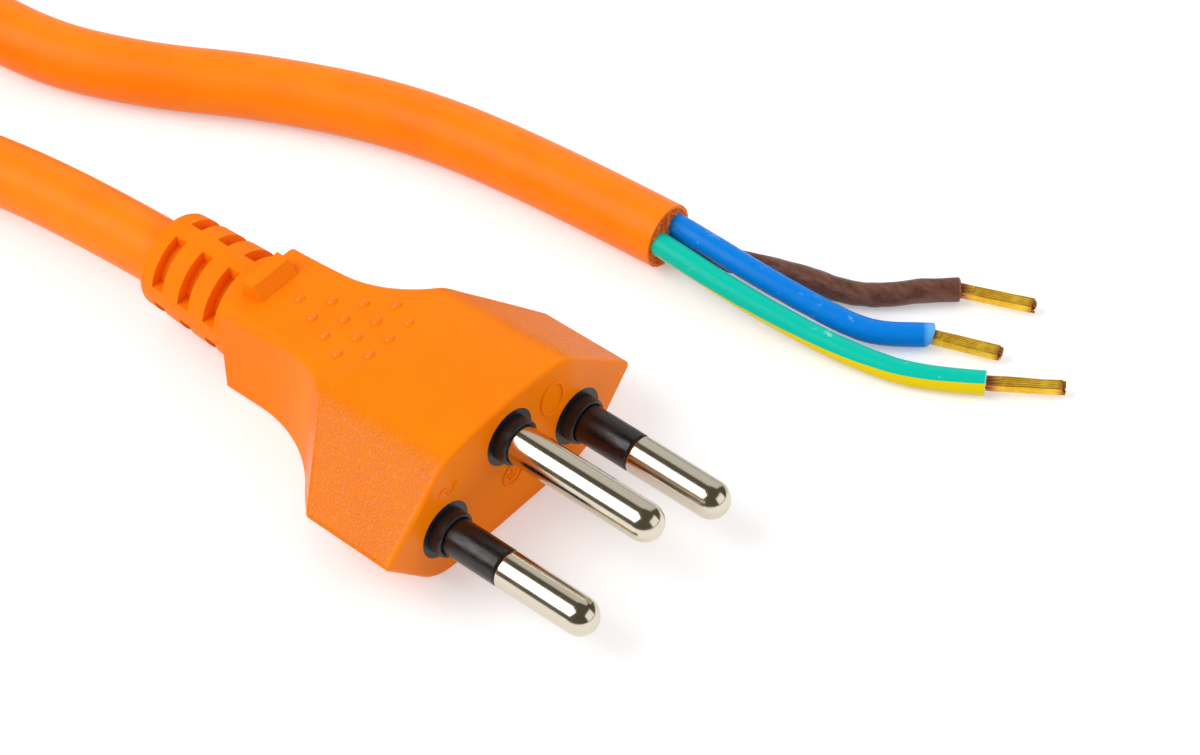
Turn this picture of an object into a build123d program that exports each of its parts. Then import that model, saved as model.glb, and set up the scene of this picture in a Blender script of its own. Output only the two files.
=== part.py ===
from build123d import *
from math import cos, pi, radians, sin, sqrt, tan
import os

# Mains cord with a moulded three-pin plug on one end and three stripped cores on the other.
# Millimetres. The plug lies flat, pins towards -Y, +Z up. The origin is under the middle of the plug.

# Pins of the 10 A pattern: round, two live pins in line and the earth pin above them
pin_dia = 4.0
pin_reach = 19.0
pin_spacing = 19.0
earth_rise = 5.0
shoulder_round = 0.3

# Insulating sleeves on the two live pins
sleeve_reach = 7.8
sleeve_wall = 0.4
sleeve_root = 1.5
sleeve_round = 0.25

# Black insert that holds the pins
boss_dia = 6.3
collar_dia = 4.9
collar_reach = 1.2
carrier_depth = 2.0
carrier_thick = 4.0
carrier_rim = 1.6

# Thicker root of each pin, held in the insert, and the crimp barrel behind it
root_dia = 4.4
barrel_dia = 4.6
barrel_length = 5.5
crimp_depth = 4.0

# Head of the plug, seen from the pins
head_width = 35.2
head_height = 15.9
pin_axis_height = 6.1
ridge_height = 7.0
base_width = 22.0
crown_width = 17.8
crown_rise = 1.0
base_corner = 6.0
crown_corner = 4.0
ridge_round = 0.5
back_inset = 0.5

# Side view: the top falls gently, then dips into the grip
grip_length = 33.3
grip_start = 12.8
grip_sag = 0.51
top_fall = 0.78
grip_drop = 4.4

# Plan view: the wings' back walls turn into the waist, whose corners lie before the grip's end
waist_width = 11.2
waist_round = 14.5
wing_sweep = 40.0
waist_run_low = 11.0
waist_run_high = 14.7

# Rounded edges: the face's rim, the neck's top edges, and the wings' back edges
rim_round = 0.4
neck_round = 1.2
wing_round = 0.5

# Dots behind the grip's start, and the finger bar at its end
dot_rows = [3, 4, 3, 2, 1]
dot_lead = 2.5
dot_row_pitch = 3.03
dot_pitch = 2.8
dot_ball = 0.65
dot_stand = 0.35
bar_width = 5.1
bar_rise = 1.7
bar_slope_run = 1.4
bar_top_run = 1.5
bar_to_end = 0.5

# Slotted strain relief behind the grip
relief_axis_height = 6.4
relief_length = 12.2
relief_front_dia = 11.2
relief_back_dia = 10.2
relief_end_round = 0.8
relief_floor_dia = 8.0
slot_count = 3
slot_lead = 1.3
slot_pitch = 3.65
slot_width = 1.5
band_width = 2.1

# Cord, its cores and its bare ends
cord_dia = 6.9
cord_length = 2000.0
core_dia = 2.5
core_gap = 0.05
conductor_dia = 1.3
bar_end_wide = 1.35
bar_end_thick = 0.95
bare_length = 8.0
core_entry = 4.0
jacket_start = 27.0
core_start_gap = 0.8
core_lead = 2.3
core_bend = 5.0

# Put-away coil, lying where the two stretches come together. Its turns are round underneath, so the flat that
# stands for them lies a little above the floor.
coil_dia = 73.0
coil_centre = (9.0, 143.5)
coil_corner = 8.0
coil_lift = 0.4
coil_entry_height = 5.2

# Places that follow from the sizes
body_length = grip_length + relief_length
face_y = (pin_reach - body_length) / 2
cord_radius = cord_dia / 2
grip_start_height = head_height - top_fall
grip_end_height = head_height - grip_drop
pins = {
    "line": (-pin_spacing / 2, pin_axis_height),
    "neutral": (pin_spacing / 2, pin_axis_height),
    "earth": (0, pin_axis_height + earth_rise),
}
core_ring = core_dia / sqrt(3) + core_gap
barrel_start = carrier_depth + carrier_thick
barrel_end = barrel_start + barrel_length
core_start = barrel_end + core_start_gap
wing_reach = (head_width - waist_width) / 2 * tan(radians(wing_sweep))
wing_back = grip_length - waist_run_high - wing_reach
coil_across = round(sqrt(cord_length / (pi * coil_dia)))
cutter = 2 * body_length


def back_from_face(y):
    """Plane across the plug at a distance behind the front face, drawn with x right and y up."""
    return Plane(origin=(0, face_y + y, 0), x_dir=(1, 0, 0), z_dir=(0, -1, 0))


def rod(x, z, dia, start, end):
    """Round bar along the plug between two distances behind the front face."""
    disc = back_from_face(end) * Pos(x, z) * Circle(dia / 2)
    return extrude(disc, amount=end - start)


def head_section(y, lower, narrower):
    """Section of the head: flat base, side ridges, sloping shoulders and a crowned top."""
    half = head_width / 2 - narrower
    top = head_height - lower
    shoulder = (crown_width / 2, top - crown_rise)
    base = base_width / 2
    with BuildSketch(back_from_face(y)) as section:
        with BuildLine():
            Polyline((-shoulder[0], shoulder[1]), (-half, ridge_height), (-base, 0), (base, 0),
                     (half, ridge_height), shoulder)
            ThreePointArc(shoulder, (0, top), (-shoulder[0], shoulder[1]))
        make_face()
        fillet([v for v in section.vertices() if v.Y < 0.1], base_corner)
        fillet([v for v in section.vertices() if abs(v.Y - shoulder[1]) < 0.1], crown_corner)
        fillet([v for v in section.vertices() if abs(abs(v.X) - half) < 0.1], ridge_round)
    return section.sketch


def plan_outline(z, corner_y):
    """Outline from above at one height: wide head, swept wing backs, round turn into the waist."""
    side = head_width
    waist = waist_width / 2
    wing_end = corner_y - (side - waist) * tan(radians(wing_sweep))
    front = wing_end - cutter
    with BuildSketch(Plane.XY.offset(z)) as outline:
        with BuildLine():
            Polyline((side, front), (side, wing_end), (waist, corner_y), (waist, grip_length),
                     (-waist, grip_length), (-waist, corner_y), (-side, wing_end), (-side, front), close=True)
        make_face()
        turn = [v for v in outline.vertices() if abs(abs(v.X) - waist) < 0.01 and v.Y < grip_length - 1]
        fillet(turn, waist_round)
    return Pos(0, face_y, 0) * outline.sketch


grip_arc = SagittaArc((grip_start, grip_start_height), (grip_length, grip_end_height), -grip_sag)
grip_run = grip_length - grip_start


def side_profile():
    """The plug from the side, as a slab as wide as the head."""
    with BuildSketch(Plane.YZ) as profile:
        with BuildLine():
            add(grip_arc)
            Polyline((grip_length, grip_end_height), (grip_length, 0), (0, 0), (0, head_height),
                     (grip_start, grip_start_height))
        make_face()
    return Pos(-head_width, face_y, 0) * extrude(profile.sketch, amount=2 * head_width)


def head_and_grip():
    """Head and grip as the common volume of the front, plan and side forms."""
    fall = top_fall * grip_length / grip_start
    sections = [head_section(0, 0, 0), head_section(grip_length, fall, back_inset)]
    front_form = loft(sections, ruled=True)
    low = plan_outline(0, grip_length - waist_run_low)
    high = plan_outline(head_height, grip_length - waist_run_high)
    plan_form = loft([low, high], ruled=True)
    return front_form & plan_form & side_profile()


def back_edges(shape, on_neck):
    """Edges behind the wings, either the neck's two top ones or all the rest."""
    chosen = []
    for edge in shape.edges():
        box = edge.bounding_box()
        middle = edge @ 0.5
        if box.min.Y < face_y + wing_back or box.size.Z > ridge_height:
            continue
        if abs(middle.X) < waist_width / 2 - 0.1:
            continue
        top_of_neck = abs(middle.X) < 0.6 * waist_width and middle.Z > ridge_height
        if top_of_neck == on_neck:
            chosen.append(edge)
    return chosen


def smooth_head():
    """Head and grip with their edges rounded."""
    shape = head_and_grip()
    shape = fillet(shape.edges().filter_by_position(Axis.Y, face_y, face_y), rim_round)
    shape = fillet(back_edges(shape, True), neck_round)
    return fillet(back_edges(shape, False), wing_round)


def grip_dots():
    """Small domes on the grip, in rows that narrow towards the cord."""
    dots = []
    for row, count in enumerate(dot_rows):
        y = grip_start + dot_lead + row * dot_row_pitch
        top = grip_arc @ ((y - grip_start) / grip_run)
        for place in range(count):
            x = (place - (count - 1) / 2) * dot_pitch
            dots.append(Pos(x, face_y + y, top.Y + dot_stand - dot_ball) * Sphere(dot_ball))
    return dots


def finger_bar():
    """Raised bar across the back of the grip, sloping towards the dots."""
    root = relief_axis_height
    top = grip_end_height + bar_rise
    back = grip_length - bar_to_end
    crest = back - bar_top_run
    foot = crest - bar_slope_run
    with BuildSketch(Plane.YZ) as profile:
        with BuildLine():
            Polyline((foot, grip_end_height), (crest, top), (back, top), (back, root), (foot, root),
                     close=True)
        make_face()
    return Pos(-bar_width / 2, face_y, 0) * extrude(profile.sketch, amount=bar_width)


def strain_relief():
    """Tapered sleeve with rings and four bands left between its slots."""
    front = relief_front_dia / 2
    back = relief_back_dia / 2
    overlap = grip_length - relief_length / 4
    with BuildSketch(Plane.XY) as half:
        with BuildLine():
            Polyline((0, overlap), (front, overlap), (front, grip_length), (back, body_length),
                     (0, body_length), close=True)
        make_face()
        fillet([v for v in half.vertices() if v.X > 1 and v.Y > body_length - 0.1], relief_end_round)
    sleeve = revolve(half.sketch, Axis.Y)
    bands = Box(band_width, cutter, cutter) + Box(cutter, cutter, band_width)
    for place in range(slot_count):
        y = grip_length + slot_lead + place * slot_pitch + slot_width / 2
        ring = Cylinder(cutter / 2, slot_width) - Cylinder(relief_floor_dia / 2, slot_width)
        sleeve -= Pos(0, y, 0) * (Rot(90, 0, 0) * ring - bands)
    return Pos(0, face_y, relief_axis_height) * sleeve


def turned_pin(x, z, sleeved):
    """Pin with a domed tip, a thicker root and a bored crimp barrel. It is necked under a sleeve."""
    radius = pin_dia / 2
    neck = radius - sleeve_wall
    root = root_dia / 2
    root_start = sleeve_root if sleeved else -collar_reach
    with BuildSketch(Plane.XY) as half:
        with BuildLine():
            RadiusArc((radius, radius - pin_reach), (0, -pin_reach), radius)
            Polyline((0, -pin_reach), (0, barrel_end), (barrel_dia / 2, barrel_end),
                     (barrel_dia / 2, barrel_start), (root, barrel_start), (root, root_start))
            if sleeved:
                Polyline((root, root_start), (neck, root_start), (neck, -sleeve_reach),
                         (radius, -sleeve_reach), (radius, radius - pin_reach))
            else:
                Polyline((root, root_start), (radius, root_start), (radius, radius - pin_reach))
        make_face()
        if sleeved:
            fillet(half.vertices().sort_by_distance((radius, -sleeve_reach, 0))[0], shoulder_round)
    body = revolve(half.sketch, Axis.Y)
    bore = Rot(90, 0, 0) * Cylinder(conductor_dia / 2, crimp_depth)
    bore_middle = barrel_end - crimp_depth / 2
    return Pos(x, face_y, z) * (body - Pos(0, bore_middle, 0) * bore)


def sleeve_at(x, z):
    """Insulating tube round a live pin's neck, rounded at its front end."""
    tube_wall = rod(x, z, pin_dia, -sleeve_reach, sleeve_root)
    tube_wall = fillet(tube_wall.edges().sort_by(Axis.Y)[0], sleeve_round)
    return tube_wall - rod(x, z, pin_dia - 2 * sleeve_wall, -cutter, cutter)


def pin_carrier():
    """Bridge behind the face that joins three flush bosses with short collars."""
    rims = [Pos(x, z) * Circle((boss_dia + carrier_rim) / 2) for x, z in pins.values()]
    outline = make_hull([edge for rim in rims for edge in rim.edges()])
    plate = extrude(back_from_face(barrel_start) * outline, amount=carrier_thick)
    for x, z in pins.values():
        plate += rod(x, z, boss_dia, 0, carrier_depth)
        plate += rod(x, z, collar_dia, -collar_reach, 0)
    return plate


def rounded_path(points):
    """Straight runs joined by tangent arcs, each as large as its two runs allow."""
    spots = [Vector(*p) for p in points]
    radii = []
    for before, here, after in zip(spots, spots[1:], spots[2:]):
        turn = (here - before).get_angle(after - here)
        shorter = min((here - before).length, (after - here).length)
        radii.append(0.45 * shorter / tan(radians(turn / 2)))
    print("radii", [round(r, 1) for r in radii])
    return FilletPolyline(*points, radius=radii)


def tube(path, dia):
    """Round solid along a path."""
    start = Plane(origin=path @ 0, z_dir=path % 0)
    solid = sweep(start * Circle(dia / 2), path=path)
    ratio = solid.volume / (path.length * pi * dia**2 / 4)
    print("tube length", round(path.length, 1), "volume ratio", round(ratio, 4))
    return solid


def core_spot(angle):
    """Place of a core across the cord."""
    return core_ring * cos(radians(angle)), core_ring * sin(radians(angle))


def core_in_plug(pin, angle):
    """Core from the jacket's inner end to its pin."""
    x, z = pins[pin]
    across, up = core_spot(angle)
    bend = core_start + core_lead
    ends = [(x, core_start, z), (x, bend, z),
            (across, jacket_start - core_lead, relief_axis_height + up),
            (across, jacket_start + core_entry, relief_axis_height + up)]
    route = FilletPolyline(*[(a, face_y + b, c) for a, b, c in ends], radius=core_bend)
    return tube(route, core_dia)


# Stretch from the plug to the coil, and from the stripped end to the coil, resting on the floor
plug_route = [
    (0, face_y + jacket_start, relief_axis_height),
    (0, 41.5, relief_axis_height),
    (-3, 69.5, cord_radius),
    (-11.3, 95.2, cord_radius),
    (-21.9, 118.9, coil_entry_height),
]
far_route = [
    (35.7, -2.4, cord_radius),
    (34.7, 13, cord_radius),
    (32, 30, cord_radius),
    (25.6, 44.8, cord_radius),
    (19, 55.5, cord_radius),
    (14.3, 67.8, cord_radius),
    (13.5, 83.3, 4.9),
    (18.5, 97.9, 8.4),
    (28.7, 109.6, 11.2),
    (39.6, 119.1, 12.6),
]

# Free cores: the first point lies inside the jacket, the last is where the insulation is cut
blue_route = [
    (36.6, 1.2, 4.5),
    (36.8, -4.5, 4.5),
    (37.0, -11.5, 3.9),
    (37.9, -18.5, 2.8),
    (39.6, -24.6, 1.9),
    (42.8, -29.8, 1.5),
]
green_yellow_route = [
    (34.1, 1.5, 4.0),
    (33.9, -4.5, 4.0),
    (34.1, -12.0, 3.2),
    (34.9, -19.5, 2.3),
    (35.9, -26.0, 1.7),
    (37.8, -33.0, 1.4),
    (41.5, -38.4, 1.4),
]
brown_route = [
    (35.9, 1.4, 2.0),
    (36.3, -4.2, 1.9),
    (39.0, -10.6, 1.7),
    (41.6, -17.0, 1.6),
    (45.2, -24.0, 1.5),
    (49.8, -28.5, 1.5),
]


def coil_solid(stretches):
    """Outer shape of the neat coil, cut where the two stretches run into it."""
    height = cord_dia * (1 + (coil_across - 1) * sin(radians(60)))
    width = coil_across * cord_dia
    with BuildSketch(Plane.XZ) as section:
        with Locations((coil_dia / 2, coil_lift + height / 2)):
            RectangleRounded(width, height, coil_corner)
    ring = Pos(coil_centre[0], coil_centre[1], 0) * revolve(section.sketch, Axis.Z)
    for stretch in stretches:
        ring -= stretch
    return ring


def bare_end(path):
    """Compacted flat conductor that goes on straight from a core's cut end."""
    heading = path % 1
    start = Plane(origin=path @ 1, z_dir=heading, x_dir=Vector(0, 0, 1).cross(heading))
    return extrude(start * Rectangle(bar_end_wide, bar_end_thick), amount=bare_length)


parts = {}
live = ["line", "neutral"]
core_of = {"line": "brown", "neutral": "blue", "earth": "green_yellow"}
wire_of = {"line": "brown", "neutral": "blue", "earth": "earth"}
angle_of = {"line": 210, "neutral": 330, "earth": 90}

for name, (x, z) in pins.items():
    parts[name + "_pin"] = turned_pin(x, z, name in live)
    parts[core_of[name] + "_core_in_plug"] = core_in_plug(name, angle_of[name])
    wire = rod(x, z, conductor_dia, barrel_end - crimp_depth, core_start)
    parts[wire_of[name] + "_conductor_in_plug"] = wire
    if name in live:
        parts[name + "_pin_sleeve"] = sleeve_at(x, z)

carrier = pin_carrier()
for name in pins:
    carrier -= parts[name + "_pin"]
    if name in live:
        carrier -= parts[name + "_pin_sleeve"]
parts["pin_carrier"] = carrier

free_cores = {"blue": blue_route, "green_yellow": green_yellow_route, "brown": brown_route}
free_wires = {"blue": "blue", "green_yellow": "earth", "brown": "brown"}
for colour, route in free_cores.items():
    path = rounded_path(route)
    parts[colour + "_core"] = tube(path, core_dia)
    parts[free_wires[colour] + "_conductor"] = bare_end(path)

near = tube(rounded_path(plug_route), cord_dia)
far = tube(rounded_path(far_route), cord_dia)
parts["cord_coil"] = coil_solid([near, far])
for colour in free_cores:
    near -= parts[colour + "_core_in_plug"]
    far -= parts[colour + "_core"]
parts["cord_plug_stretch"] = near
parts["cord_far_stretch"] = far

body = smooth_head() + strain_relief() + finger_bar() + grip_dots()
for name, piece in parts.items():
    if name.endswith(("_pin", "_sleeve", "_in_plug", "pin_carrier", "plug_stretch")):
        body -= piece
parts["plug_body"] = body

os.makedirs("parts", exist_ok=True)
for name, shape in parts.items():
    export_step(shape, f"parts/{name}.step")
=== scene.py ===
from math import cos, pi, radians, sin

import bmesh
import bpy
from mathutils import Matrix, Vector, noise


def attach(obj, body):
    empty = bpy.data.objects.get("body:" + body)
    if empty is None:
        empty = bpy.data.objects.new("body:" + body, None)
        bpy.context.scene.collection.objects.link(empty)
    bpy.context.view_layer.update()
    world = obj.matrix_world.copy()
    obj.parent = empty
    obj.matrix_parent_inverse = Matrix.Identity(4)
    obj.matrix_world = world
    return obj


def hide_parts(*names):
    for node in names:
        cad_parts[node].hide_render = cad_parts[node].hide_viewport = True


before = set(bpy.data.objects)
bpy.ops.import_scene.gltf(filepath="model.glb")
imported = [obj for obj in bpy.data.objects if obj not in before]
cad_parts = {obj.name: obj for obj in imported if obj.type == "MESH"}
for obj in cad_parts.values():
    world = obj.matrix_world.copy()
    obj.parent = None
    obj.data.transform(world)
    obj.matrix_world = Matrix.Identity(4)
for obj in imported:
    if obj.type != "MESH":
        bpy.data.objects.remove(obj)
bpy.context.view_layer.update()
bpy.ops.object.select_all(action="DESELECT")

# ---- Camera ----
# The picture is taken from the front left of the plug, about 47 degrees above the table, with a long lens
# from half a metre away.
bpy.ops.object.camera_add(location=(-0.23945, -0.24923, 0.37641))
camera = bpy.context.object
camera_facing = Matrix((
    (0.656832, 0.564144, -0.500312),
    (-0.753338, 0.462411, -0.467609),
    (-0.032449, 0.684045, 0.728718),
))
camera.rotation_euler = camera_facing.to_euler()
camera.data.lens = 155.96
camera.data.sensor_width = 36
bpy.context.scene.camera = camera

# ---- Cord ----
# The orange jacket is one extruded PVC tube, two metres long. It comes out of the plug, is put away in a coil of
# not quite eight turns, and runs back to the stripped end. The turns lie in three layers: three turns inwards on
# the table, three outwards on top of them, and the last ones on top of those.
cord_thick = 0.0069
on_floor = cord_thick / 2
cord_route = [Vector(place) for place in (
    (0, 0.01375, 0.0064), (0, 0.0415, 0.0064), (-0.003, 0.0695, on_floor), (-0.0113, 0.0952, on_floor),
)]

coil_middle = Vector((0.009, 0.1435, 0))
coil_turns = 7.70
coil_start = 215
corner_cut = 1.013  # the smooth line runs this much inside its points
layer_rise = 0.00615
turn_radii = [0.0434, 0.0365, 0.0296, 0.0262, 0.0331, 0.0400, 0.0365, 0.0434]
turn_layers = [0, 0, 0, 1, 1, 1, 2, 2]
steps_a_turn = 16
swing_steps = 3
for step in range(round(coil_turns * steps_a_turn) + 1):
    turn, part = divmod(step, steps_a_turn)
    radius, layer = turn_radii[turn], turn_layers[turn]
    if part > steps_a_turn - swing_steps and turn + 1 < len(turn_radii):
        swing = (part - steps_a_turn + swing_steps) / swing_steps
        radius += swing * (turn_radii[turn + 1] - radius)
        layer += swing * (turn_layers[turn + 1] - layer)
    angle = radians(coil_start - 360 * step / steps_a_turn)
    place = coil_middle + corner_cut * radius * Vector((cos(angle), sin(angle), 0))
    place.z = on_floor + layer * layer_rise
    cord_route.append(place)

cord_route += [Vector(place) for place in (
    (0.0305, 0.1065, 0.0152), (0.0188, 0.0970, 0.0110), (0.0134, 0.0833, 0.0052), (0.0143, 0.0678, on_floor),
    (0.019, 0.0555, on_floor), (0.0256, 0.0448, on_floor), (0.032, 0.030, on_floor), (0.0347, 0.013, on_floor),
    (0.0357, -0.0024, on_floor),
)]


def smooth_line(name, route, thick=0):
    """Curve of one open NURBS spline whose control points are the route's, round if it has a thickness."""
    data = bpy.data.curves.new(name, "CURVE")
    data.dimensions = "3D"
    data.resolution_u = 10
    data.bevel_depth = 1 if thick else 0
    data.bevel_resolution = 8
    data.use_fill_caps = True
    spline = data.splines.new("NURBS")
    spline.points.add(len(route) - 1)
    for point, place in zip(spline.points, route):
        point.co = (*place, 1)
        point.radius = thick / 2
    spline.order_u = 3
    spline.use_endpoint_u = True
    line = bpy.data.objects.new(name, data)
    bpy.context.collection.objects.link(line)
    return line


cord = smooth_line("cord", cord_route, cord_thick)
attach(cord, "root")
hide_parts("cord_plug_stretch", "cord_coil", "cord_far_stretch")


class Value:
    """A socket of a finish, with arithmetic that adds Math nodes."""

    def __init__(self, finish, socket):
        self.finish = finish
        self.socket = socket

    def math(self, operation, other):
        return self.finish.node("Math", {0: self, 1: other}, operation=operation)

    def __add__(self, other):
        return self.math("ADD", other)

    def __sub__(self, other):
        return self.math("SUBTRACT", other)

    def __rsub__(self, other):
        return self.finish.node("Math", {0: other, 1: self}, operation="SUBTRACT")

    def __mul__(self, other):
        return self.math("MULTIPLY", other)

    def __abs__(self):
        return self.finish.node("Math", {0: self}, operation="ABSOLUTE")

    def higher(self, other):
        return self.math("MAXIMUM", other)


class Finish:
    """One material: its node tree, its shader, and the coordinates that its patterns lie on."""

    def __init__(self, name, colour, roughness, **shader):
        self.material = bpy.data.materials.new(name)
        self.material.use_nodes = True
        self.tree = self.material.node_tree
        self.shader = self.tree.nodes["Principled BSDF"]
        self.place = self.node("TexCoord", {}, "Object")
        self.set(Base_Color=(*colour, 1), Roughness=roughness, **shader)

    def node(self, kind, inputs, output=0, **settings):
        made = self.tree.nodes.new("ShaderNode" + kind)
        for setting, value in settings.items():
            setattr(made, setting, value)
        for socket, value in inputs.items():
            self.feed(made.inputs[socket], value)
        return Value(self, made.outputs[output])

    def feed(self, socket, value):
        if isinstance(value, Value):
            self.tree.links.new(value.socket, socket)
        else:
            socket.default_value = value

    def set(self, **sockets):
        for socket, value in sockets.items():
            self.feed(self.shader.inputs[socket.replace("_", " ")], value)

    def axis(self, name):
        return self.node("SeparateXYZ", {"Vector": self.place}, name)

    def attribute(self, name, output="Fac"):
        return self.node("Attribute", {}, output, attribute_name=name)

    def noise(self, size, detail=2, stretch=(1, 1, 1), rough=0.5):
        place = self.place
        if stretch != (1, 1, 1):
            place = self.node("Mapping", {"Vector": place, "Scale": stretch})
        return self.node("TexNoise", {"Vector": place, "Scale": 1 / size, "Detail": detail, "Roughness": rough})

    def range(self, value, low, high, new_low=0.0, new_high=1.0):
        inputs = {"Value": value, "From Min": low, "From Max": high, "To Min": new_low, "To Max": new_high}
        return self.node("MapRange", inputs, clamp=True)

    def mix(self, share, first, second):
        first, second = ((*colour, 1) if isinstance(colour, tuple) else colour for colour in (first, second))
        return self.node("Mix", {0: share, 6: first, 7: second}, 2, data_type="RGBA")

    def bump(self, height, depth):
        return self.node("Bump", {"Height": height, "Distance": depth, "Strength": 1.0})


jacket = Finish("jacket_pvc", (1.0, 0.22, 0.0), 0.40, Specular_IOR_Level=0.16)
streaks = jacket.noise(0.005)
fine = jacket.noise(0.0006, 3)
jacket.set(
    Base_Color=jacket.mix(jacket.range(streaks, 0.35, 0.65), (1.0, 0.215, 0.0), (1.0, 0.245, 0.0)),
    Roughness=jacket.range(streaks + fine * 0.4, 0.4, 1.0, 0.36, 0.46),
    Normal=jacket.bump(fine, 0.000015),
)
cord.data.materials.append(jacket.material)

# The knife left a rough filling between the cores and the jacket's clean edge round it. It is a ball pressed
# nearly flat, with coarse and fine lumps that die out towards the edge.
cut_round = 0.0031
cut_bulge = 0.09
lumps = [(0.00016, 2600, 3), (0.00012, 7000, 8)]  # height, how many to the metre, and the noise's own layer
bpy.ops.mesh.primitive_uv_sphere_add(segments=72, ring_count=60, radius=cut_round)
cut_face = bpy.context.object
cut_face.name = "jacket_cut_face"
for corner in cut_face.data.vertices:
    spot = corner.co
    spot.z *= cut_bulge
    inside = 1 - (spot.xy.length / cut_round) ** 8
    for height, dense, layer in lumps:
        spot.z += height * inside * noise.noise(Vector((spot.x * dense, spot.y * dense, layer)))
heading = (cord_route[-1] - cord_route[-2]).normalized()
facing = heading.to_track_quat("Z", "Y").to_matrix().to_4x4()
facing.translation = cord_route[-1]
cut_face.data.transform(facing)
bpy.ops.object.shade_smooth()
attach(cut_face, "root")
torn = Finish("torn_filling", (0.8, 0.2, 0.04), 0.75, Specular_IOR_Level=0.1)
fibres = torn.noise(0.0004, 4, rough=0.7)
torn.set(
    Base_Color=torn.mix(torn.range(fibres, 0.38, 0.62), (0.50, 0.060, 0.010), (0.92, 0.24, 0.06)),
    Normal=torn.bump(fibres, 0.00025),
)
cut_face.data.materials.append(torn.material)

# ---- Cores ----
# Three stranded copper conductors in their own coloured PVC come out of the jacket's cut end. They keep the bends
# of the stripping, and each is cut off again before its bare conductor.
core_thick = 0.0025
core_sides = 28
core_routes = {  # in millimetres
    "blue": [(36.6, 1.2, 4.5), (36.8, -4.5, 4.4), (37.2, -12.5, 3.6), (38.0, -18.5, 2.7), (38.9, -23.6, 1.9),
             (40.2, -26.8, 1.6), (42.8, -29.8, 1.5)],
    "green_yellow": [(34.1, 1.5, 4.0), (33.9, -4.5, 4.0), (34.1, -12.0, 3.2), (34.9, -19.5, 2.3),
                     (35.9, -26.0, 1.7), (37.8, -33.0, 1.4), (41.5, -38.4, 1.4)],
    "brown": [(35.9, 1.4, 2.0), (36.3, -4.2, 1.9), (39.3, -10.8, 1.9), (41.3, -16.0, 1.8), (42.5, -20.2, 1.4),
              (44.6, -23.3, 1.4), (47.2, -25.6, 1.6), (49.8, -28.5, 1.5)],
}
wrinkle = {"blue": 0.00003, "green_yellow": 0.00003, "brown": 0.0001}
wrinkles_round, wrinkles_along = 1.2, 16
tongue = {"blue": 0.001, "green_yellow": 0.00015, "brown": 0.0002}
ragged = 0.00010
ragged_round = 3
stripe_start = radians(62)
stripe_twist = radians(20)

# The torn edge turns in over three rims: how wide each is, how much of the tear it follows, and its mark, which
# goes on from 1 at the line's end.
torn_rims = [(0.97, 1, 1.01), (0.86, 1, 1.02), (0.6, 0.2, 1.03)]
rim_step = 0.00006


def points_along(line):
    """Points that a smooth line passes through. The line is used up."""
    mesh = bpy.data.meshes.new_from_object(line)
    places = [corner.co.copy() for corner in mesh.vertices]
    bpy.data.objects.remove(line)
    return places


def skin_round(name, places, radius, shape, reach):
    """Closed tube round a line of points. shape(share, angle) gives how far out of round it is, and the stripe's
    side. reach(angle) gives how far its torn edge goes on past the line's end."""
    build = bmesh.new()
    side_of = build.verts.layers.float.new("stripe_side")
    along_of = build.verts.layers.float.new("along")
    angles = [2 * pi * number / core_sides for number in range(core_sides)]
    rings = []

    def add_ring(corners):
        ring = []
        for place, side, along in corners:
            corner = build.verts.new(place)
            corner[side_of] = side
            corner[along_of] = along
            ring.append(corner)
        rings.append(ring)

    for number, place in enumerate(places):
        ahead = places[min(number + 1, len(places) - 1)] - places[max(number - 1, 0)]
        right = ahead.cross(Vector((0, 0, 1))).normalized()
        up = right.cross(ahead).normalized()
        outward = [right * cos(angle) + up * sin(angle) for angle in angles]
        share = number / (len(places) - 1)
        shapes = [shape(share, angle) for angle in angles]
        add_ring([(place + way * (radius + swell), side, share) for way, (swell, side) in zip(outward, shapes)])
    ahead.normalize()
    for wide, deep, mark in torn_rims:
        add_ring([(place + way * radius * wide + ahead * (rim_step + deep * reach(angle)), side, mark)
                  for way, angle, (swell, side) in zip(outward, angles, shapes)])
    for ring, following in zip(rings, rings[1:]):
        for number in range(core_sides):
            after = (number + 1) % core_sides
            build.faces.new((ring[number], ring[after], following[after], following[number]))
    build.faces.new(rings[0])
    build.faces.new(list(reversed(rings[-1])))
    bmesh.ops.recalc_face_normals(build, faces=build.faces)
    mesh = bpy.data.meshes.new(name)
    build.to_mesh(mesh)
    build.free()
    piece = bpy.data.objects.new(name, mesh)
    bpy.context.collection.objects.link(piece)
    return piece


core_lines = {}
cores = {}
for colour, route in core_routes.items():
    places = points_along(smooth_line("core_line", [Vector(place) / 1000 for place in route]))
    core_lines[colour] = places

    def core_shape(share, angle, colour=colour):
        spot = (cos(angle) * wrinkles_round, sin(angle) * wrinkles_round, share * wrinkles_along + len(colour))
        return wrinkle[colour] * noise.noise(Vector(spot)), cos(angle + stripe_start - stripe_twist * share)

    def torn_edge(angle, colour=colour):
        spot = (cos(angle) * ragged_round, sin(angle) * ragged_round, len(colour))
        return tongue[colour] * (0.5 + 0.5 * sin(angle)) + ragged * noise.noise(Vector(spot))

    core = skin_round(colour + "_core_sleeve", places, core_thick / 2, core_shape, torn_edge)
    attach(core, "root")
    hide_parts(colour + "_core")
    cores[colour] = core

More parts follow.
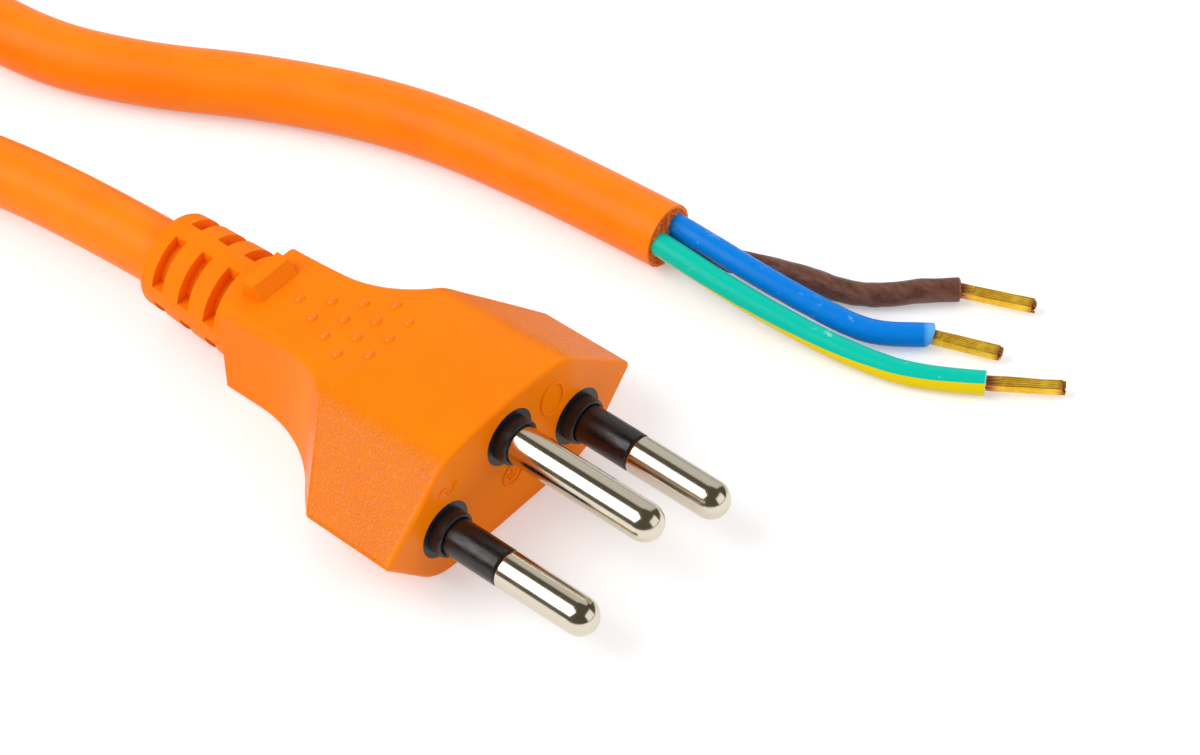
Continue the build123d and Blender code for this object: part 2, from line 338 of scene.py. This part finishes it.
blue_pvc = Finish("blue_pvc", (0.0, 0.165, 0.66), 0.4, Specular_IOR_Level=0.13)
rubs = blue_pvc.noise(0.0014, 5, (1, 0.5, 1), 0.75)
scuff = blue_pvc.range(rubs, 0.60, 0.70)
end = blue_pvc.range(blue_pvc.attribute("along") + rubs * 0.006, 1.0, 1.008)
blue_pvc.set(
    Base_Color=blue_pvc.mix((scuff * 0.5).higher(end * 0.6), (0.0, 0.215, 0.75), (0.22, 0.56, 0.93)),
    Roughness=blue_pvc.range(blue_pvc.noise(0.0011, 3), 0.3, 0.7, 0.22, 0.38),
    Normal=blue_pvc.bump(blue_pvc.noise(0.0008, 3), 0.00004),
)
cores["blue"].data.materials.append(blue_pvc.material)

brown_pvc = Finish("brown_pvc", (0.115, 0.045, 0.03), 0.38, Specular_IOR_Level=0.4)
folds = brown_pvc.noise(0.0009, 4, (1, 0.35, 1), 0.6)
end = brown_pvc.range(brown_pvc.attribute("along") + folds * 0.006, 1.004, 1.014)
skin = brown_pvc.mix(brown_pvc.range(folds, 0.35, 0.7), (0.098, 0.031, 0.018), (0.21, 0.080, 0.050))
brown_pvc.set(
    Base_Color=brown_pvc.mix(end * 0.8, skin, (0.42, 0.19, 0.10)),
    Roughness=brown_pvc.range(folds, 0.3, 0.7, 0.24, 0.42),
    Normal=brown_pvc.bump(folds, 0.00016),
)
cores["brown"].data.materials.append(brown_pvc.material)

striped_pvc = Finish("green_yellow_pvc", (0.0, 0.5, 0.36), 0.38, Specular_IOR_Level=0.13)
along = striped_pvc.attribute("along")
waver = striped_pvc.noise(0.003, 1) * 0.08
stripe = striped_pvc.range(striped_pvc.attribute("stripe_side") + waver + along * 0.75, 0.86, 0.90)
rubs = striped_pvc.noise(0.0012, 5, (1, 0.5, 1), 0.75)
scuff = striped_pvc.range(rubs, 0.63, 0.72) * 0.5
end = striped_pvc.range(along + rubs * 0.006, 1.004, 1.014) * 0.55
skin = striped_pvc.mix(stripe, (0.0, 0.57, 0.42), (0.86, 0.64, 0.0))
striped_pvc.set(
    Base_Color=striped_pvc.mix(scuff.higher(end), skin, (0.62, 0.86, 0.78)),
    Roughness=striped_pvc.range(rubs, 0.3, 0.7, 0.22, 0.36),
    Normal=striped_pvc.bump(striped_pvc.noise(0.0009, 3), 0.00003),
)
cores["green_yellow"].data.materials.append(striped_pvc.material)

# ---- Bare conductors ----
# Each conductor's fine copper strands are pressed into a flat bar at the end, so they stay together in a screw
# terminal. Loose strands still show between the insulation and the bar, and their cut ends at the tip.
bar_wide, bar_thick, bar_length = 0.00135, 0.00095, 0.0077
bar_tips = {"blue": (45.9, -37.3, 1.2), "green_yellow": (46.0, -44.6, 1.2), "brown": (53.0, -35.4, 1.2)}
conductors = {"blue": "blue_conductor", "green_yellow": "earth_conductor", "brown": "brown_conductor"}
bar_cuts = 9
ridge_height = 0.00004
ridges = 5
dent_depth = 0.00006
dents_across, dents_along = 1400, 500  # how many to the metre
dent_seed = 5  # without a seed, this noise is another one in each run
worn_edge = 0.00008
tip_strands = 14
tip_columns = 5
tip_gap_across, tip_gap_over = 0.00025, 0.00027
tip_reach = 0.00035
tip_strand = {"radius": 0.00013, "depth": 0.0012}
root_strands = 12
root_strand = {"radius": 0.00015, "depth": 0.0026}
root_wide, root_thick = 0.00124, 0.00100
root_middle = 0.0004

copper = Finish("pressed_copper", (0.75, 0.45, 0.06), 0.3, Metallic=0.7)
copper.place = copper.attribute("bar_place", "Vector")
along = copper.axis("Y")
grain = copper.noise(0.00045, 4, (1, 0.12, 1), 0.6)
patches = copper.noise(0.0012, 3)
gold = copper.mix(copper.range(grain * 0.6 + patches * 0.6, 0.45, 0.75), (0.78, 0.38, 0.015), (1.0, 0.70, 0.06))
red_ends = copper.range(along, 0.0007, 0.0019, 1, 0).higher(copper.range(along, 0.0071, 0.0077, 0, 0.85))
copper.set(
    Base_Color=copper.mix(red_ends, gold, (0.50, 0.16, 0.05)),
    Roughness=copper.range(patches, 0.3, 0.7, 0.2, 0.42),
    Normal=copper.bump(grain, 0.00004),
)

noise.seed_set(dent_seed)
for number, (colour, node) in enumerate(conductors.items()):
    bpy.ops.mesh.primitive_cube_add(size=1)
    bar = bpy.context.object
    bar.name = colour + "_bare_end"
    bpy.ops.object.mode_set(mode="EDIT")
    bpy.ops.transform.resize(value=(bar_wide, bar_length, bar_thick))
    bpy.ops.transform.translate(value=(0, bar_length / 2, 0))
    bpy.ops.mesh.subdivide(number_cuts=bar_cuts)
    bpy.ops.object.mode_set(mode="OBJECT")
    for corner in bar.data.vertices:
        spot = corner.co
        on_flat = abs(spot.z) > 0.45 * bar_thick
        ridge = ridge_height * cos(spot.x / bar_wide * 2 * ridges * pi) * (1 if on_flat else 0)
        spot.z += ridge * (1 if spot.z > 0 else -1)
        dent_place = (spot.x * dents_across, spot.y * dents_along, spot.z * dents_across + number * 7)
        spot += dent_depth * noise.noise_vector(Vector(dent_place))
    bevel = bar.modifiers.new("worn_edges", "BEVEL")
    bevel.width = worn_edge
    bevel.segments = 2
    bpy.ops.object.modifier_apply(modifier="worn_edges")

    strands = []
    for strand in range(tip_strands):
        row, column = divmod(strand, tip_columns)
        across = (column - 2) * tip_gap_across + 0.00006 * sin(strand * 5.1)
        over = (row - 1) * tip_gap_over + 0.00005 * cos(strand * 3.7)
        reach = tip_reach * (0.4 + 0.6 * abs(sin(strand * 2.3 + number)))
        bpy.ops.mesh.primitive_cylinder_add(
            vertices=10, **tip_strand, rotation=(pi / 2, 0, 0),
            location=(across, bar_length + reach - tip_strand["depth"] / 2, over))
        strands.append(bpy.context.object)
    for strand in range(root_strands):
        angle = 2 * pi * strand / root_strands
        bpy.ops.mesh.primitive_cylinder_add(
            vertices=10, **root_strand, rotation=(pi / 2 + 0.12 * sin(angle), 0, 0.14 * cos(angle)),
            location=(root_wide / 2 * cos(angle), root_middle, root_thick / 2 * sin(angle)))
        strands.append(bpy.context.object)
    for strand in strands:
        strand.select_set(True)
    bar.select_set(True)
    bpy.context.view_layer.objects.active = bar
    bpy.ops.object.join()
    bpy.ops.object.transform_apply(location=True, rotation=True, scale=True)
    bar_place = bar.data.attributes.new("bar_place", "FLOAT_VECTOR", "POINT")
    for corner, stored in zip(bar.data.vertices, bar_place.data):
        stored.vector = corner.co

    root = core_lines[colour][-1]
    heading = (Vector(bar_tips[colour]) / 1000 - root).normalized()
    right = heading.cross(Vector((0, 0, 1))).normalized()
    facing = Matrix((right, heading, right.cross(heading))).transposed().to_4x4()
    facing.translation = root
    bar.data.transform(facing)
    bpy.ops.object.shade_smooth_by_angle(angle=radians(35))
    bar.data.materials.append(copper.material)
    bpy.ops.object.select_all(action="DESELECT")
    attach(bar, "root")
    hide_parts(node)

for colour, core in cores.items():
    line = core_lines[colour]
    core_length = sum((after - before).length for before, after in zip(line, line[1:]))

# ---- Plug body ----
# One piece of soft orange PVC, moulded round the insert, the crimped cores and the cord. The mould has a fine
# leather grain, strongest on the head's sloped shoulders, and the dots and shoulders are rubbed to a shine.
body_pvc = Finish("body_pvc", (1.0, 0.215, 0.0), 0.42, Specular_IOR_Level=0.07, Coat_Roughness=0.2)
across = abs(body_pvc.axis("X"))
back = body_pvc.axis("Y")
height = body_pvc.axis("Z")

# Height of the grip's top, which sags from the head's ridge to the neck. What stands above it is dots.
along_grip = (back + 0.00045) * 48.78
grip_top = 0.01512 - along_grip * 0.00566 + along_grip * along_grip * 0.00204
on_dots = body_pvc.range(height - grip_top, 0.00004, 0.00012) * body_pvc.range(back, 0.0155, 0.0156, 1, 0)
on_dots = on_dots * body_pvc.range(back, 0.0010, 0.0011)

on_shoulders = body_pvc.range(across, 0.0075, 0.0095, 0.2, 1)
behind_grip = body_pvc.range(back, 0.012, 0.018, 0, 0.35)
behind_face = body_pvc.range(back, -0.0129, -0.0124)
leather = body_pvc.noise(0.00026)
specks = body_pvc.range(leather, 0.42, 0.66) * (on_shoulders.higher(behind_grip) * behind_face)
sheen = body_pvc.range(across, 0.0085, 0.010) * body_pvc.range(leather, 0.4, 0.6, 0.1, 0.8)
cloud = body_pvc.noise(0.006)
body_pvc.set(
    Base_Color=body_pvc.mix(body_pvc.range(cloud, 0.3, 0.7), (1.0, 0.212, 0.0), (1.0, 0.235, 0.0)),
    Roughness=body_pvc.range(cloud, 0.3, 0.7, 0.36, 0.44),
    Coat_Weight=(on_dots * 0.55).higher(sheen * 0.5),
    Normal=body_pvc.bump(specks, 0.00012),
)


def dress(finish, *names):
    """Give CAD nodes their finish."""
    for name in names:
        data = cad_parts[name].data
        data.materials.clear()
        data.materials.append(finish.material)


dress(body_pvc, "plug_body")
dress(blue_pvc, "blue_core_in_plug")
dress(brown_pvc, "brown_core_in_plug")
dress(striped_pvc, "green_yellow_core_in_plug")
dress(copper, "blue_conductor_in_plug", "brown_conductor_in_plug", "earth_conductor_in_plug")

# ---- Pin insert ----
# A hard black moulding holds the three pins and shows as a disc with a short collar round each. The rounded lip
# of a collar closes on the pin or its sleeve.
insert = Finish("insert_plastic", (0.011, 0.011, 0.013), 0.36, Specular_IOR_Level=0.45)
insert.set(Normal=insert.bump(insert.noise(0.0004, 3), 0.00004))
dress(insert, "pin_carrier")
lip_front = -0.01445
lip_ring, lip_thick = 0.00444, 0.00046
contacts = {"line": (-0.0095, 0.0061), "neutral": (0.0095, 0.0061), "earth": (0, 0.0111)}
for contact, (x, z) in contacts.items():
    bpy.ops.mesh.primitive_torus_add(
        location=(x, lip_front, z), rotation=(pi / 2, 0, 0), major_segments=64, minor_segments=16,
        major_radius=lip_ring / 2, minor_radius=lip_thick / 2)
    lip = bpy.context.object
    bpy.ops.object.transform_apply(location=True, rotation=True, scale=True)
    bpy.ops.object.shade_smooth()
    lip.name = contact + "_collar_lip"
    lip.data.materials.append(insert.material)
    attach(lip, "root")

# ---- Pins ----
# Solid brass pins, turned, domed and nickel plated. The two live pins have a black plastic sleeve on their first
# part, scuffed along its length by use.
sleeve = Finish("sleeve_plastic", (0.007, 0.005, 0.005), 0.22)
scuffs = sleeve.noise(0.0008, 5, (1, 0.25, 1), 0.7)
sleeve.set(Roughness=sleeve.range(scuffs, 0.4, 0.62, 0.2, 0.42), Normal=sleeve.bump(scuffs, 0.00002))
dress(sleeve, "line_pin_sleeve", "neutral_pin_sleeve")
nickel = Finish("nickel_plate", (0.66, 0.60, 0.49), 0.1, Metallic=1.0)
nickel.set(Roughness=nickel.range(nickel.noise(0.002, 3), 0.3, 0.7, 0.14, 0.19))
dress(nickel, "line_pin", "neutral_pin", "earth_pin")

# ---- Marks on the face ----
# The mould leaves thin raised lines on the face: the wave sign of alternating current, the sign of the earth
# contact in a ring, and a plain oval.
mark_plane = -0.01327
mark_thick = 0.00034


def raised(name, points, closed=False):
    """Raised line on the face, through points given in millimetres across and up."""
    route = [Vector((x / 1000, mark_plane, z / 1000)) for x, z in points]
    line = smooth_line(name, route, mark_thick)
    spline = line.data.splines[0]
    spline.use_cyclic_u = closed
    spline.use_endpoint_u = not closed
    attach(line, "root")
    line.data.materials.append(body_pvc.material)


def ring_points(x, z, wide, tall, count=20):
    angles = [2 * pi * number / count for number in range(count)]
    return [(x + wide / 2 * cos(angle), z + tall / 2 * sin(angle)) for angle in angles]


raised("oval_mark", ring_points(6.15, 11.4, 3.1, 3.9), closed=True)
raised("earth_mark_ring", ring_points(0.1, 5.85, 2.6, 2.6), closed=True)
raised("earth_mark_stem", [(0.1, 6.9), (0.1, 6.4), (0.1, 6.0)])
raised("earth_mark_bar_1", [(-0.65, 5.95), (0.1, 5.95), (0.85, 5.95)])
raised("earth_mark_bar_2", [(-0.35, 5.42), (0.1, 5.42), (0.55, 5.42)])
raised("wave_mark", [(-10.1, 10.6), (-9.8, 11.5), (-9.2, 11.6), (-8.9, 11.0), (-8.6, 10.4), (-8.0, 10.5),
                     (-7.7, 11.4)])

# ---- Studio ----
# A plain white table, one large soft light from the back left, and weaker cards on the right and in front. The
# paper glows a little for the camera and in reflections, so it shows as white. The room round it is bright, but
# dim in reflections, so the plastic and the pins keep their dark sides.
table_size = 6
table_drop = 0.00005
paper_glow = 0.3
room_light = 0.6
room_in_reflections = (0.10, 0.09, 0.065, 1)
bpy.ops.mesh.primitive_plane_add(size=table_size, location=(0, 0, -table_drop))
table = bpy.context.object
table.name = "table"
paper = Finish("table_white", (0.85, 0.85, 0.85), 0.9)
plain = Value(paper, paper.shader.outputs[0])
glow = paper.node("Emission", {"Strength": paper_glow})
glowing = paper.node("AddShader", {0: plain, 1: glow})
seen = paper.node("LightPath", {}, "Is Camera Ray").higher(paper.node("LightPath", {}, "Is Glossy Ray"))
white = paper.node("MixShader", {0: seen, 1: plain, 2: glowing})
paper.feed(paper.tree.nodes["Material Output"].inputs[0], white)
table.data.materials.append(paper.material)

lit_place = Vector((0, 0.03, 0))
for name, place, size, power in (
    ("softbox", (-0.62, 0.50, 0.80), (0.80, 0.85), 7.5),
    ("right_card", (0.85, 0.40, 0.60), (1.1, 1.1), 2.4),
    ("front_card", (0.35, -1.0, 0.45), (1.0, 0.8), 2.7),
):
    bpy.ops.object.light_add(type="AREA", location=place)
    lamp = bpy.context.object
    lamp.name = name
    lamp.data.shape = "RECTANGLE"
    lamp.data.size, lamp.data.size_y = size
    lamp.data.energy = power
    lamp.rotation_euler = (lit_place - Vector(place)).to_track_quat("-Z", "Y").to_euler()

world = bpy.context.scene.world or bpy.data.worlds.new("studio")
bpy.context.scene.world = world
world.use_nodes = True
room = world.node_tree.nodes
room["Background"].inputs["Color"].default_value = (1, 1, 1, 1)
room["Background"].inputs["Strength"].default_value = room_light
dark = room.new("ShaderNodeBackground")
dark.inputs["Color"].default_value = room_in_reflections
ray = room.new("ShaderNodeLightPath")
either = room.new("ShaderNodeMixShader")
world.node_tree.links.new(ray.outputs["Is Glossy Ray"], either.inputs[0])
world.node_tree.links.new(room["Background"].outputs[0], either.inputs[1])
world.node_tree.links.new(dark.outputs[0], either.inputs[2])
world.node_tree.links.new(either.outputs[0], room["World Output"].inputs[0])
bpy.context.scene.view_settings.view_transform = "Standard"
